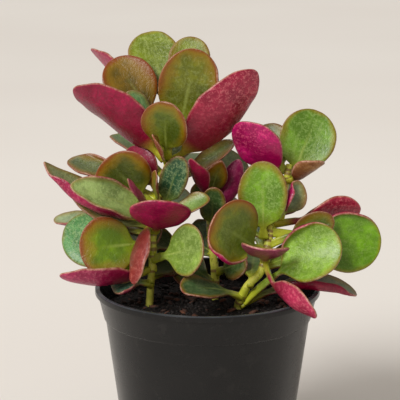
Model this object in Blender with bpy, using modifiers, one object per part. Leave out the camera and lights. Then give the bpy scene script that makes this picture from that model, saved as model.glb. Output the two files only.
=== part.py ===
"""A round-leaved succulent in a plain nursery pot. Blender 4.5, metres, +Z up.

The origin is the middle of the pot's flat base. The plant is stems with one solid for each leaf, and a leaf
is a loft from a channelled petiole to a rounded blade, so its faces are made here from its rings.
"""

import math

import bmesh
import bpy
from mathutils import Vector
from mathutils.geometry import interpolate_bezier

MM = 0.001
GAP = 0.3

# Pot, in millimetres
POT_HEIGHT = 105.0
LIP_RADIUS = 60.0
LIP_HEIGHT = 3.4
LIP_OVERHANG = 1.5
LIP_ROUNDING = 0.5
BAND_HEIGHT = 17.0
BAND_BOTTOM_RADIUS = 55.4
BAND_STEP = 0.9
BASE_RADIUS = 42.8
BASE_EDGE = 1.5
WALL = 1.6
DRAIN_HOLES = 6
DRAIN_RADIUS = 4.0
DRAIN_CIRCLE = 27.0
POT_SIDES = 48

# Soil
SOIL_DEPTH_BELOW_LIP = 11.0
SOIL_MOUND = 2.0

# Stems and leaves
STEM_RADIUS = 2.3
STEM_TIP_RADIUS = 1.7
NODE_SWELLING = 0.16
NODE_SPACING = 11.0
BLADE_THICKNESS = 2.2
PETIOLE_THICKNESS = 2.8
PETIOLE_HALF_WIDTH = 2.2
PETIOLE_FOOT_HALF_WIDTH = 2.5
LEAF_FOOT_CLEARANCE = 1.2

# A stem's route, in millimetres: sideways, backward and up, the last measured from the top of the pot
STEMS = {
    "tall_stem": ((-31, -4, -9.4), (-29, -6, 17), (-29, -5, 26), (-27, -3, 41), (-24, 0, 55), (-21, 0, 68),
                  (-20, 2, 77), (-18, 4, 86), (-17, 5, 92)),
    "right_stem": ((16, -10, -8.2), (21, -15, 4), (28, -16, 12), (32, -10, 27), (35, -5, 40), (40, -2, 50),
                   (42, 0, 60), (43, 1, 66)),
    "middle_stem": ((4, 5, -8.5), (4, 8, 6), (2, 10, 22), (1, 10, 39), (0, 12, 50), (-1, 13, 57)),
}

# A leaf's outline: the share of its length that is petiole, where its blade is widest, how full the blade's
# base is, where less is fuller, and how pointed its tip is, where 0.5 is round
OUTLINES = {
    "full": (0.10, 0.52, 0.50, 0.50),
    "round": (0.20, 0.54, 0.55, 0.50),
    "oval": (0.12, 0.48, 0.60, 0.58),
    "stalked": (0.36, 0.48, 0.48, 0.50),
    "long_stalked": (0.45, 0.50, 0.48, 0.50),
    "spoon": (0.26, 0.62, 0.85, 0.50),
    "lance": (0.14, 0.52, 0.75, 0.80),
    "young": (0.12, 0.50, 0.80, 0.72),
}

# A leaf's rings: how far along its midrib each one lies
RING_PLACES = (0.0, 0.10, 0.20, 0.30, 0.42, 0.56, 0.70, 0.82, 0.92, 0.98)

# The points of a ring, from the left rim over the upper side to the right rim and back beneath: how far
# across each one lies, and its height in half thicknesses
RING_POINTS = ((-1.0, 0.0), (-0.5, 0.85), (0.0, 0.80), (0.5, 0.85), (1.0, 0.0), (0.4, -1.05), (-0.4, -1.05))

# Each leaf: name, stem, height on the stem, reach from stem to tip (sideways, backward, up), the way that
# its upper face looks, width, outline, bow of the midrib towards the upper face, rise of its rims, twist in
# degrees. Lengths are in millimetres.
LEAVES = (
    ("crown_leaf_back_left", "tall_stem", 88, (-15, 33, 43), (0.1, -1, 0.3), 27, "spoon", 2, 2, 0),
    ("crown_leaf_back_right", "tall_stem", 90, (10, 13, 41), (-0.1, -1, 0.2), 22, "spoon", 1, 2, 0),
    ("crown_leaf_left", "tall_stem", 80, (-31, 15, 39), (0.2, -0.9, 0.4), 28, "stalked", 2, 3, 0),
    ("crown_leaf_front", "tall_stem", 83, (13, -4, 44), (0, -1, 0.1), 32, "full", 1, 3, 0),
    ("crown_leaf_low_left", "tall_stem", 69, (-48, -8, 39), (0.45, 0.75, 0.6), 33, "oval", 3, 4, 0),
    ("crown_leaf_low_front", "tall_stem", 70, (0, -18, 32), (-0.3, -1, 0.35), 26, "round", 2, 2, 0),
    ("crown_leaf_behind", "tall_stem", 78, (27, 8, 25), (-0.3, 0.9, 0.3), 22, "round", 0, 2, 0),
    ("crown_leaf_low_right", "tall_stem", 68, (46, -2, 48), (-0.4, 0.9, 0.5), 32, "oval", -4, 4, 0),
    ("crown_leaf_under_right", "tall_stem", 54, (38, 14, 22), (-0.4, -0.6, 0.8), 14, "spoon", -2, 2, 0),
    ("crown_young_leaf", "tall_stem", 67, (-7, -24, 19), (1, 0.3, 0.2), 9, "young", 0, 1, 0),
    ("crown_leaf_mid_left", "tall_stem", 74, (-22, 1, 30), (0.3, -0.7, 0.7), 14, "spoon", 1, 2, 0),
    ("crown_leaf_far_left", "tall_stem", 85, (-45, 41, 36), (0.6, 0.5, 0.7), 24, "lance", 0, 3, 0),
    ("left_leaf_upper_back", "tall_stem", 53, (-18, 11, 19), (0.2, 0.9, 0.3), 22, "full", -1, 3, 0),
    ("left_leaf_upper", "tall_stem", 45, (-27, -4, 25), (-0.3, -0.9, 0.1), 33, "round", 0, 3, 0),
    ("left_leaf_behind", "tall_stem", 48, (-49, 24, 16), (0, -0.3, 1), 20, "spoon", 1, 2, 0),
    ("left_leaf_front", "tall_stem", 39, (-43, -23, 21), (0.1, -0.7, 0.7), 20, "oval", 1, 4, 0),
    ("left_leaf_long", "tall_stem", 37, (-59, 10, 29), (0, -0.25, 1), 22, "lance", -9, 4, 0),
    ("left_young_leaf_outer", "tall_stem", 41, (-14, -25, 23), (-1, -0.2, 0.1), 8, "young", 0, 1, 0),
    ("left_young_leaf_inner", "tall_stem", 46, (-1, -14, 20), (-0.8, -0.5, 0.1), 8, "young", 0, 1, 0),
    ("middle_leaf_streaked", "tall_stem", 44, (13, -8, 28), (-0.1, -1, 0.1), 15, "full", 0, 1, 0),
    ("middle_leaf_small", "tall_stem", 35, (29, -6, 15), (-0.5, -0.6, 0.6), 12, "spoon", 1, 2, 0),
    ("left_leaf_forward", "tall_stem", 31, (6, -30, 23), (0, 0.7, 0.7), 32, "round", -2, 3, 0),
    ("left_leaf_hanging", "tall_stem", 37, (-10, -24, -29), (0.75, 0.6, 0.1), 18, "oval", -4, 2, 0),
    ("left_leaf_round", "tall_stem", 25, (-38, -9, -2), (-0.1, -1, 0.3), 32, "round", 1, 2, 0),
    ("left_leaf_low_back", "tall_stem", 21, (-49, 17, 4), (-0.1, -1, 0.3), 30, "round", 1, 2, 0),
    ("left_leaf_low_far", "tall_stem", 29, (-55, 33, 1), (0, -0.6, 0.8), 13, "spoon", 1, 2, 0),
    ("left_leaf_spoon", "tall_stem", 17, (27, -26, 12), (-0.6, -0.7, 0.3), 28, "spoon", 1, 2, 0),
    ("left_leaf_lowest", "tall_stem", 9, (-47, -21, 4), (0.1, 0.65, 0.75), 20, "oval", -5, 4, 0),
    ("left_leaf_on_rim", "tall_stem", 3, (-20, -6, -3), (0, -0.3, 1), 20, "spoon", 2, 2, 0),
    ("middle_young_leaf", "middle_stem", 46, (-9, -26, 26), (0.5, 1, 0.6), 11, "young", 0, 2, 0),
    ("middle_leaf_dark", "middle_stem", 30, (2, -12, 24), (-0.1, -1, 0), 14, "full", 0, 1, 0),
    ("middle_leaf_upright", "middle_stem", 36, (16, 3, 30), (0.3, 0.9, 0.2), 12, "oval", 0, 3, 0),
    ("middle_leaf_back", "middle_stem", 50, (17, 20, 15), (0, -1, 0.4), 22, "spoon", 0, 2, 0),
    ("middle_leaf_low_left", "middle_stem", 0, (-15, -21, 14), (0, -0.8, 0.5), 22, "spoon", 1, 2, 0),
    ("middle_leaf_low_round", "middle_stem", 6, (17, -16, 9), (0, -0.9, 0.4), 16, "round", 1, 2, 0),
    ("right_leaf_low_left", "right_stem", -2, (-32, -22, 9), (-0.1, -0.5, 0.8), 18, "spoon", 2, 2, 0),
    ("right_leaf_over_rim", "right_stem", 15, (25, -46, -13), (0.35, 0.8, 0.5), 18, "stalked", -5, 4, 0),
    ("right_leaf_front", "right_stem", -5, (51, -16, 37), (0.25, -0.5, 0.85), 32, "long_stalked", 4, 4, -35),
    ("right_leaf_drooping", "right_stem", -7, (63, 7, 3), (0.2, -0.2, 1), 20, "spoon", 8, 2, 0),
    ("right_leaf_inner_front", "right_stem", 22, (-29, -25, 22), (0.5, -0.8, 0.1), 36, "round", 1, 3, 0),
    ("right_leaf_forward", "right_stem", 18, (-1, -26, 12), (0.1, 0.45, 0.9), 25, "spoon", 0, 3, 0),
    ("right_leaf_inner_back", "right_stem", 22, (-8, 14, 17), (0, -1, 0.2), 18, "spoon", 0, 2, 0),
    ("right_leaf_upright", "right_stem", 30, (-4, -3, 40), (-0.1, -1, 0.2), 26, "full", 1, 3, 0),
    ("right_leaf_round", "right_stem", 31, (59, 5, -8), (0, -1, 0.2), 33, "stalked", 1, 3, 0),
    ("right_leaf_inner_dark", "right_stem", 26, (34, -4, 14), (0, -1, 0.2), 15, "stalked", 0, 2, 0),
    ("right_leaf_shoulder", "right_stem", 35, (48, 15, 4), (0.1, 0.8, 0.6), 24, "stalked", 0, 3, 0),
    ("right_leaf_folded", "right_stem", 39, (13, -3, 20), (0.5, -0.8, 0.2), 14, "oval", 0, 5, 0),
    ("right_leaf_top_left", "right_stem", 58, (-26, -4, 31), (0.4, 0.8, 0.4), 28, "oval", -1, 3, 0),
    ("right_leaf_top", "right_stem", 59, (17, 14, 33), (0, -1, 0.2), 30, "full", 1, 3, 0),
    ("right_leaf_top_front", "right_stem", 57, (18, -12, 13), (-0.3, 0.6, 0.8), 17, "oval", 0, 3, 0),
    ("right_leaf_top_back", "right_stem", 62, (-14, 18, 21), (0, -1, 0.3), 24, "full", 0, 2, 0),
    ("back_leaf_left", "tall_stem", 60, (-28, 42, 14), (0.3, -0.6, 0.8), 16, "spoon", 2, 3, 0),
    ("back_leaf_middle", "middle_stem", 46, (-4, 48, 14), (0, -0.3, 1), 28, "spoon", 3, 3, 0),
    ("back_leaf_right", "right_stem", 40, (4, 52, 6), (-0.2, -0.3, 1), 28, "spoon", 3, 3, 0),
    ("back_leaf_low", "middle_stem", 18, (20, 50, 2), (0, 0, 1), 28, "spoon", 4, 3, 0),
)

# Colour, roughness
MATERIALS = {
    "pot": ((0.022, 0.021, 0.020), 0.42),
    "soil": ((0.022, 0.016, 0.012), 0.95),
    "stem": ((0.36, 0.40, 0.05), 0.45),
    "leaf": ((0.18, 0.30, 0.05), 0.42),
}


def clear_scene():
    for obj in list(bpy.data.objects):
        bpy.data.objects.remove(obj, do_unlink=True)


def new_collection(name):
    collection = bpy.data.collections.new(name)
    bpy.context.scene.collection.children.link(collection)
    return collection


def new_material(name, colour, roughness):
    material = bpy.data.materials.new(name)
    material.use_nodes = True
    shader = material.node_tree.nodes["Principled BSDF"]
    shader.inputs["Base Color"].default_value = (*colour, 1.0)
    shader.inputs["Roughness"].default_value = roughness
    shader.inputs["Metallic"].default_value = 0.0
    return material


def new_object(name, data, collection, material_name):
    obj = bpy.data.objects.new(name, data)
    data.materials.append(new_material(name, *MATERIALS[material_name]))
    collection.objects.link(obj)
    return obj


def metres(sideways, backward, up):
    """A place measured in millimetres from the pot's axis and the top of its lip."""
    return Vector((sideways, backward, up + POT_HEIGHT)) * MM


def turned(name, profile, sides, collection, material_name):
    """A body of revolution from a profile of (radius, height) in millimetres that runs down its outer side."""
    mesh = bpy.data.meshes.new(name)
    points = [(radius * MM, 0.0, height * MM) for radius, height in profile]
    mesh.from_pydata(points, [(i, i + 1) for i in range(len(points) - 1)], [])
    obj = new_object(name, mesh, collection, material_name)
    screw = obj.modifiers.new("Turn", "SCREW")
    screw.steps = sides
    screw.render_steps = sides
    screw.use_merge_vertices = True
    screw.merge_threshold = 0.00001
    screw.use_smooth_shade = True
    return obj


def wall_inside_radius(height):
    """The pot's inner radius at a height above its base: the tapered wall's, then the wider rim band's."""
    band_bottom = POT_HEIGHT - BAND_HEIGHT
    body_top_radius = BAND_BOTTOM_RADIUS - BAND_STEP - WALL
    if height <= band_bottom:
        floor_radius = BASE_RADIUS - WALL
        return floor_radius + (height - WALL) / (band_bottom - WALL) * (body_top_radius - floor_radius)
    top_radius = LIP_RADIUS - LIP_OVERHANG - WALL + 0.6
    return body_top_radius + (height - band_bottom) / BAND_HEIGHT * (top_radius - body_top_radius)


def pot_profile():
    """The pot's section: from its inner floor up the inner wall, over the lip and down to its base."""
    top = POT_HEIGHT
    band_bottom = top - BAND_HEIGHT
    under_lip_radius = LIP_RADIUS - LIP_OVERHANG
    step_radius = BAND_BOTTOM_RADIUS - BAND_STEP
    return [
        (0.0, WALL),
        (wall_inside_radius(WALL), WALL),
        (wall_inside_radius(band_bottom), band_bottom),
        (wall_inside_radius(top), top - LIP_ROUNDING),
        (wall_inside_radius(top) + LIP_ROUNDING, top),
        (LIP_RADIUS - LIP_ROUNDING, top),
        (LIP_RADIUS, top - LIP_ROUNDING),
        (LIP_RADIUS, top - LIP_HEIGHT + LIP_ROUNDING),
        (under_lip_radius, top - LIP_HEIGHT),
        (BAND_BOTTOM_RADIUS, band_bottom + BAND_STEP),
        (step_radius, band_bottom),
        (BASE_RADIUS, BASE_EDGE),
        (BASE_RADIUS - BASE_EDGE, 0.0),
        (0.0, 0.0),
    ]


def make_drain_cutter(number, collection):
    turn = math.tau * number / DRAIN_HOLES
    mesh = bpy.data.meshes.new(f"drain_cutter_{number}")
    body = bmesh.new()
    radius = DRAIN_RADIUS * MM
    depth = 4 * WALL * MM
    bmesh.ops.create_cone(body, cap_ends=True, segments=16, radius1=radius, radius2=radius, depth=depth)
    body.to_mesh(mesh)
    body.free()
    cutter = bpy.data.objects.new(mesh.name, mesh)
    cutter.location = (DRAIN_CIRCLE * MM * math.cos(turn), DRAIN_CIRCLE * MM * math.sin(turn), 0.0)
    cutter.hide_render = True
    cutter.display_type = "WIRE"
    collection.objects.link(cutter)
    return cutter


def make_pot(collection, cutters):
    pot = turned("pot", pot_profile(), POT_SIDES, collection, "pot")
    for number in range(DRAIN_HOLES):
        cut = pot.modifiers.new("Drain hole", "BOOLEAN")
        cut.operation = "DIFFERENCE"
        cut.object = make_drain_cutter(number, cutters)
    return pot


def make_soil(collection):
    bottom = WALL + GAP
    edge = POT_HEIGHT - SOIL_DEPTH_BELOW_LIP
    edge_radius = wall_inside_radius(edge) - GAP
    profile = [
        (0.0, edge + SOIL_MOUND - 0.4),
        (0.35 * edge_radius, edge + SOIL_MOUND - 0.9),
        (0.7 * edge_radius, edge + 0.6),
        (0.9 * edge_radius, edge + 0.2),
        (edge_radius, edge - 0.8),
        (wall_inside_radius(POT_HEIGHT - BAND_HEIGHT) - GAP, POT_HEIGHT - BAND_HEIGHT),
        (wall_inside_radius(bottom) - GAP, bottom),
        (0.0, bottom),
    ]
    return turned("soil", profile, POT_SIDES, collection, "soil")


def smooth_route(points, steps):
    """Points on a smooth curve through the given ones."""
    places = [Vector(p) for p in points]
    route = []
    for i in range(len(places) - 1):
        before = places[max(i - 1, 0)]
        start, end = places[i], places[i + 1]
        after = places[min(i + 2, len(places) - 1)]
        handle_out = start + (end - before) / 6
        handle_in = end - (after - start) / 6
        route += interpolate_bezier(start, handle_out, handle_in, end, steps + 1)[:-1]
    return route + [places[-1]]


def stem_radius(name, height):
    """A stem's radius at a height above the lip: it tapers, and swells a little where leaves leave it."""
    low, high = STEMS[name][0][2], STEMS[name][-1][2]
    share = (height - low) / (high - low)
    swelling = 1 + NODE_SWELLING * math.cos(math.tau * height / NODE_SPACING) ** 2
    return (STEM_RADIUS + share * (STEM_TIP_RADIUS - STEM_RADIUS)) * swelling / (1 + NODE_SWELLING)


def make_stem(name, collection):
    route = smooth_route(STEMS[name], 3)
    curve = bpy.data.curves.new(name, "CURVE")
    curve.dimensions = "3D"
    curve.bevel_depth = MM
    curve.bevel_resolution = 2
    curve.use_fill_caps = True
    spline = curve.splines.new("POLY")
    spline.points.add(len(route) - 1)
    for point, place in zip(spline.points, route):
        point.co = (*metres(*place), 1.0)
        point.radius = stem_radius(name, place.z)
    spline.use_smooth = True
    return new_object(name, curve, collection, "stem")


def stem_place(name, height):
    """The middle of a stem at a height above the lip."""
    route = smooth_route(STEMS[name], 3)
    for low, high in zip(route, route[1:]):
        if height <= high.z:
            break
    return low.lerp(high, (height - low.z) / (high.z - low.z))


def leaf_half_width(place, width, outline):
    """Half the width of a leaf at a place along its midrib."""
    petiole, widest, base_fullness, tip_point = OUTLINES[outline]
    slim = min(1.0, width / 18)
    foot = PETIOLE_FOOT_HALF_WIDTH * slim
    neck = PETIOLE_HALF_WIDTH * slim
    stalk = foot + (neck - foot) * min(1.0, place / petiole)
    if place <= petiole:
        return stalk
    along = (place - petiole) / (1 - petiole)
    if along < widest:
        share = math.sin(0.5 * math.pi * along / widest) ** base_fullness
        return stalk + (0.5 * width - stalk) * share
    past = (along - widest) / (1 - widest)
    return 0.5 * width * (1 - past**2) ** tip_point


def leaf_rings(leaf):
    """The points of each ring of a leaf from its foot to its tip, in millimetres, then the tip itself."""
    _, stem, height, reach, facing, width, outline, bow, rise, twist = leaf
    start = stem_place(stem, height)
    tip = start + Vector(reach)
    heading = (tip - start).normalized()
    flat = math.hypot(heading.x, heading.y)
    clearance = stem_radius(stem, height) + LEAF_FOOT_CLEARANCE + 0.5 * PETIOLE_THICKNESS * abs(heading.z)
    foot = start + Vector((heading.x / flat, heading.y / flat, 0.3 * heading.z)) * clearance
    chord = tip - foot
    upper = (Vector(facing) - Vector(facing).dot(heading) * heading).normalized()
    across = heading.cross(upper)
    petiole = OUTLINES[outline][0]
    slim = min(1.0, 0.4 + width / 30)
    rings = []
    for place in (*RING_PLACES, 1.0):
        middle = foot + chord * place + upper * (4 * bow * place * (1 - place))
        tangent = (chord + upper * (4 * bow * (1 - 2 * place))).normalized()
        turn = math.radians(twist) * place
        side = across * math.cos(turn) + upper * math.sin(turn)
        side = (side - side.dot(tangent) * tangent).normalized()
        normal = side.cross(tangent)
        if place == 1.0:
            return rings, middle
        half = leaf_half_width(place, width, outline)
        stalk = max(0.0, 1 - place / petiole)
        thickness = slim * (BLADE_THICKNESS + stalk * (PETIOLE_THICKNESS - BLADE_THICKNESS))
        thickness *= 1 - 0.35 * place**4
        ring = []
        for out, up in RING_POINTS:
            lift = 0.5 * thickness * up + rise * (out * half / (0.5 * width)) ** 2
            ring.append(middle + side * (out * half) + normal * (lift + 0.25 * stalk * out**2))
        rings.append(ring)


def make_leaf(leaf, collection):
    rings, tip = leaf_rings(leaf)
    body = bmesh.new()
    loops = [[body.verts.new(metres(*place)) for place in ring] for ring in rings]
    count = len(RING_POINTS)
    body.faces.new(loops[0])
    for near, far in zip(loops, loops[1:]):
        for i in range(count):
            j = (i + 1) % count
            body.faces.new((near[i], near[j], far[j], far[i]))
    apex = body.verts.new(metres(*tip))
    for i in range(count):
        body.faces.new((loops[-1][i], loops[-1][(i + 1) % count], apex))
    bmesh.ops.recalc_face_normals(body, faces=body.faces)
    bmesh.ops.triangulate(body, faces=body.faces)
    mesh = bpy.data.meshes.new(leaf[0])
    body.to_mesh(mesh)
    body.free()
    mesh.shade_smooth()
    return new_object(leaf[0], mesh, collection, "leaf")


def main():
    clear_scene()
    collection = new_collection("potted_succulent")
    cutters = new_collection("cutters")
    make_pot(collection, cutters)
    make_soil(collection)
    for name in STEMS:
        make_stem(name, collection)
    for leaf in LEAVES:
        make_leaf(leaf, collection)


main()
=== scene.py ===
"""The looks of a round-leaved succulent in a plain nursery pot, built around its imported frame.

Each leaf is lofted again, finely, through the rings of its CAD solid, and each stem is swept again through
its rings. Where a point lies on its leaf is kept in attributes of the mesh, which the leaf material reads.
"""

import math
import random

import bmesh
import bpy
import numpy as np
from mathutils import Euler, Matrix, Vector, noise


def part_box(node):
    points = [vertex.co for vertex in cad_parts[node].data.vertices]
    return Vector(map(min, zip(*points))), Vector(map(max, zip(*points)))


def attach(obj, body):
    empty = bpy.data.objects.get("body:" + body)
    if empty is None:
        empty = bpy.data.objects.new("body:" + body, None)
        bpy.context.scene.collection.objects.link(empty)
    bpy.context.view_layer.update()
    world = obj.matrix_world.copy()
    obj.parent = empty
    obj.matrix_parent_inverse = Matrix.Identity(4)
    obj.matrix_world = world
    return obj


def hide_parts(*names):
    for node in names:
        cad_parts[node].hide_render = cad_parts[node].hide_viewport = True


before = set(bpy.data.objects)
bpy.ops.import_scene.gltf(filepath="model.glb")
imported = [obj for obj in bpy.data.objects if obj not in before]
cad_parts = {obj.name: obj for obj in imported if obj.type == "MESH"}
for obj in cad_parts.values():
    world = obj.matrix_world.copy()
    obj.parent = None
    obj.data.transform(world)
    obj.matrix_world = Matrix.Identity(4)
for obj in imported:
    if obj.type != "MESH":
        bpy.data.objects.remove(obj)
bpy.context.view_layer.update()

MM = 0.001

# The stems' nodes
TALL = "tall_stem"
MIDDLE = "middle_stem"
RIGHT = "right_stem"
STEM_SOLID_SIDES = 8

# A leaf solid's ring has seven points: its left rim, three across its upper side, its right rim and two
# across its under side
RING_COUNT = 7
LEFT_RIM = 0
RIGHT_RIM = 4
BETWEEN_RIMS = (1, 2, 3, 5, 6)

# How far across the points between the rims lie, in half widths, and their heights, in half thicknesses
RING_ACROSS = (-0.5, 0.0, 0.5, 0.4, -0.4)
RING_HEIGHT = (0.85, 0.80, 0.85, -1.05, -1.05)

# The columns of a leaf's section: its middle, its half-width vector, its normal, the sag of its middle and
# its thickness
CENTRE = slice(0, 3)
SIDE = slice(3, 6)
NORMAL = slice(6, 9)
SAG = 9
THICKNESS = 10

# How far along a leaf that has no solid its sections lie
PLAIN_PLACES = (0.0, 0.10, 0.20, 0.30, 0.42, 0.56, 0.70, 0.82, 0.92, 0.98)

# Fineness of the leaves and stems
STATIONS_PER_RING = 6
LEAF_SPANS = 16
STEM_STATIONS = 8
STEM_SIDES = 20

# A leaf's rim and foot: how wide the rim's rounding is, how far the foot runs on into the stem and how much
# it widens there, and how full the blade is along its middle and how much it thins towards its rims
RIM_ROUNDING = 1.0 * MM
FOOT_DEPTH = 2.4 * MM
FOOT_SPREAD = 1.12
MIDDLE_FULLNESS = 1.06
RIM_THINNING = 0.22

# A rolled margin: how far round it rolls, its least radius, and over what share of the length it ends at
# the tip
FOLD_TURN = math.radians(150)
FOLD_RADIUS = 1.4 * MM
FOLD_FADE = 0.25
NO_FOLD = (1, 0.0)

# A leaf's waves: in its outline, over its blade and along its rims. The rows of noise that they are read from
# lie apart. The waves reach their full size where the leaf has a certain share of its greatest width, and the
# outline's leave the stalk alone.
OUTLINE_WAVE = 0.018
OUTLINE_SPACING = 7 * MM
OUTLINE_ROW = 3.1
SWELL = 0.35 * MM
SWELL_SPACING = 11 * MM
FRILL = 1.5 * MM
FRILL_SPACING = 9 * MM
RIMS_APART = 8
FULL_BLADE = 0.6
STALK_HALF = 4 * MM

# A stem's foot in the soil, how near a leaf's foot lies to the stem that bears it, the stem's corky rings and
# its lumps
ROOT_DEPTH = 3 * MM
ROOT_SPREAD = 1.15
BEARING_REACH = 7 * MM
SCAR_WIDTH = 1.1 * MM
SCAR_SWELL = 0.10
LUMP = 0.10 * MM
LUMP_SPACING = 5 * MM

# Fineness of the pot and the soil
POT_SIDES = 144
SOIL_RINGS = 70
SOIL_SIDES = 240

# Seeds of what differs from piece to piece: those of the frame's leaves count up from 0
FILLER_SEED = 100
STEM_SEED = 40


# ---------------------------------------------------------------- reading the frame


def merged(node):
    """A CAD node's distinct points, the triangles between them, and each point's neighbours along edges."""
    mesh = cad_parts[node].data
    places = np.array([vertex.co for vertex in mesh.vertices])
    keys = np.round(places / (0.01 * MM)).astype(int)
    _, first, index = np.unique(keys, axis=0, return_index=True, return_inverse=True)
    index = index.reshape(-1)
    triangles = [tuple(int(index[i]) for i in face.vertices) for face in mesh.polygons]
    near = [set() for _ in first]
    for triangle in triangles:
        for point in triangle:
            near[point].update(other for other in triangle if other != point)
    return places[first], triangles, near


def levels_from(start, near):
    """The points in groups, by how many edges away from the start they lie."""
    seen = set(start)
    groups = [sorted(start)]
    while True:
        ring = sorted({other for point in groups[-1] for other in near[point]} - seen)
        if not ring:
            return groups
        seen.update(ring)
        groups.append(ring)


def in_cycle(ring, triangles):
    """A ring's points in their order round it, told by the triangles that have an edge on it."""
    members = set(ring)
    beside = {point: set() for point in ring}
    for triangle in triangles:
        inside = [point for point in triangle if point in members]
        if len(inside) == 2:
            beside[inside[0]].add(inside[1])
            beside[inside[1]].add(inside[0])
    order = [ring[0]]
    while len(order) < len(ring):
        order.append(min(beside[order[-1]] - set(order)))
    return order


def turned_to_match(ring, model):
    """The ring, started and run the way that fits the model ring best."""
    size = np.linalg.norm(model - model.mean(0))
    shape = (model - model.mean(0)) / size
    best = None
    for direction in (ring, ring[::-1]):
        for start in range(len(ring)):
            turned = np.roll(direction, start, axis=0)
            offsets = turned - turned.mean(0)
            misfit = np.linalg.norm(offsets / np.linalg.norm(offsets) - shape)
            if best is None or misfit < best[0]:
                best = (misfit, turned)
    return best[1]


def started_at_rim(ring):
    """A wide ring from its left rim over its upper side, where three points lie between the rims."""
    best = None
    for direction in (ring, ring[::-1]):
        for start in range(len(ring)):
            turned = np.roll(direction, start, axis=0)
            width = np.linalg.norm(turned[LEFT_RIM] - turned[RIGHT_RIM])
            if best is None or width > best[0] + 1e-7:
                best = (width, turned)
    return best[1]


def leaf_rings(node):
    """A leaf solid's rings from foot to tip, each from its left rim over its upper side, and its apex."""
    places, triangles, near = merged(node)
    for apex in range(len(places)):
        groups = levels_from([apex], near)
        if all(len(group) == RING_COUNT for group in groups[1:]) and len(groups) > 2:
            break
    rings = [places[in_cycle(group, triangles)] for group in groups[:0:-1]]
    spans = [max(np.linalg.norm(a - b) for a in ring for b in ring) for ring in rings]
    widest = int(np.argmax(spans))
    rings[widest] = started_at_rim(rings[widest])
    for i in range(widest + 1, len(rings)):
        rings[i] = turned_to_match(rings[i], rings[i - 1])
    for i in range(widest - 1, -1, -1):
        rings[i] = turned_to_match(rings[i], rings[i + 1])
    return rings, places[apex]


def unit(vector):
    return vector / np.linalg.norm(vector)


def section_of(ring):
    """A ring as its middle, its half-width vector, its normal, the sag of its middle and its thickness."""
    left, right = ring[LEFT_RIM], ring[RIGHT_RIM]
    middle = 0.5 * (left + right)
    side = 0.5 * (right - left)
    across = unit(side)
    normal = ring[2] - 0.5 * (ring[5] + ring[6])
    normal = unit(normal - normal.dot(across) * across)
    heights = np.array([(ring[i] - middle).dot(normal) for i in BETWEEN_RIMS])
    shares = np.array([[1 - out**2, 0.5 * up] for out, up in zip(RING_ACROSS, RING_HEIGHT)])
    sag, thickness = np.linalg.lstsq(shares, heights, rcond=None)[0]
    return np.concatenate([middle, side, normal, [sag, thickness]])


def with_ends(sections, apex):
    """The sections with the tip's own, and one beyond each end, so that a curve runs through them."""
    last = sections[-1]
    tip = last.copy()
    tip[CENTRE] = apex
    tip[SIDE] = 0.0
    tip[SAG] = 0.0
    beyond = last.copy()
    beyond[SIDE] = -last[SIDE]
    before = 2 * sections[0] - sections[1]
    return np.array([before, *sections, tip, beyond])


def leaf_sections(node):
    """A leaf solid's sections from foot to tip.

    The right side is on the right of one who looks from the foot to the tip with the upper side up.
    """
    rings, apex = leaf_rings(node)
    sections = np.array([section_of(ring) for ring in rings])
    reach = apex - sections[0][CENTRE]
    wide = sections[len(sections) // 2]
    if np.cross(reach, wide[NORMAL]).dot(wide[SIDE]) < 0:
        sections[:, SIDE] *= -1
    return with_ends(sections, apex)


def plain_sections(foot, reach, facing, width, bow):
    """The sections of a leaf that has no solid: it reaches from its foot, bowed, and faces one way."""
    stalk_share = 0.16
    stalk_half = 1.7 * MM
    cupping = 0.14
    foot_thickness = 2.6 * MM
    thinning = 0.6 * MM
    reach = np.array(reach) * MM
    heading = unit(reach)
    up = unit(np.array(facing) - heading.dot(facing) * heading)
    across = np.cross(heading, up)
    sections = []
    for t in PLAIN_PLACES:
        blade = max(0.0, (t - stalk_share) / (1 - stalk_share))
        outline = 0.5 * width * MM * math.sin(math.pi * blade**0.8) ** 0.7
        half = max(outline, stalk_half * (1 - t))
        middle = np.array(foot) + reach * t + up * bow * MM * 4 * t * (1 - t)
        sections.append([*middle, *(across * half), *up, -cupping * half, foot_thickness - thinning * t])
    return with_ends(np.array(sections), np.array(foot) + reach)


def smooth_between(rows, steps):
    """Rows read from a smooth curve through the given rows, leaving out the first and the last of them."""
    out = []
    for i in range(1, len(rows) - 2):
        a, b, c, d = rows[i - 1 : i + 3]
        square = 2 * a - 5 * b + 4 * c - d
        cube = 3 * b - a - 3 * c + d
        for step in range(steps):
            t = step / steps
            out.append(0.5 * (2 * b + (c - a) * t + square * t**2 + cube * t**3))
    out.append(rows[-2])
    return np.array(out)


# ---------------------------------------------------------------- pieces


def new_piece(name, mesh, material, slot, *nodes):
    """A piece of the visual model, which stands for the given CAD nodes."""
    piece = bpy.data.objects.new(name, mesh)
    bpy.context.scene.collection.objects.link(piece)
    mesh.materials.append(material)
    mesh.shade_smooth()
    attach(piece, "root")
    if nodes:
        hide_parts(*nodes)
    return piece


def lofted_mesh(name, points, around):
    """A skin through rings of points, with the same number of points around each, closed at its foot."""
    faces = []
    for i in range(len(points) // around - 1):
        a, b = i * around, (i + 1) * around
        for j in range(around):
            k = (j + 1) % around
            faces.append((a + j, a + k, b + k, b + j))
    faces.append(tuple(range(around))[::-1])
    mesh = bpy.data.meshes.new(name)
    mesh.from_pydata([Vector(point) for point in points], [], faces)
    return mesh


def clean(mesh, gap):
    """Joins the points that lie within a gap of each other, and turns every face outward."""
    body = bmesh.new()
    body.from_mesh(mesh)
    bmesh.ops.remove_doubles(body, verts=body.verts, dist=gap)
    bmesh.ops.recalc_face_normals(body, faces=body.faces)
    body.to_mesh(mesh)
    body.free()


def set_values(mesh, name, values):
    attribute = mesh.attributes.new(name, "FLOAT", "POINT")
    attribute.data.foreach_set("value", np.asarray(values, np.float32))


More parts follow.
